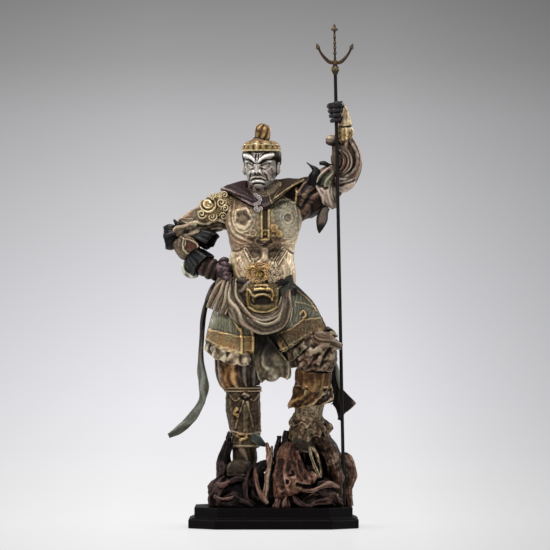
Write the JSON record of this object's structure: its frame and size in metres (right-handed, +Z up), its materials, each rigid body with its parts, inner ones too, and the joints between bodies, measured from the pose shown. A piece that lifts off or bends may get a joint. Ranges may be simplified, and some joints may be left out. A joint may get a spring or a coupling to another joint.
{
  "type": "lokapala figure",
  "caption": "Painted standing guardian king with a fist on the hip and a long trident, one boot raised on gnarled roots, on a black stepped plinth.",
  "frame": {"origin": "middle of the plinth's flat underside", "axes": "+Z up, the figure faces -Y, +X is the viewer's right and the figure's own left"},
  "size_m": [0.1008, 0.066, 0.2512],
  "materials": {
    "plinth_black": "satin black paint",
    "root_brown": "matt brown paint with reddish and pale dry-brushed ridges",
    "armour_gilt": "aged gold and brown paint with dark wash in the hollows",
    "staff_dark": "dark bronze paint, prongs aged gold"
  },
  "bodies": {
    "root": {"plinth": "plinth_black", "root_base": "root_brown", "figure": "armour_gilt", "trident": "staff_dark"}
  },
  "joints": []
}
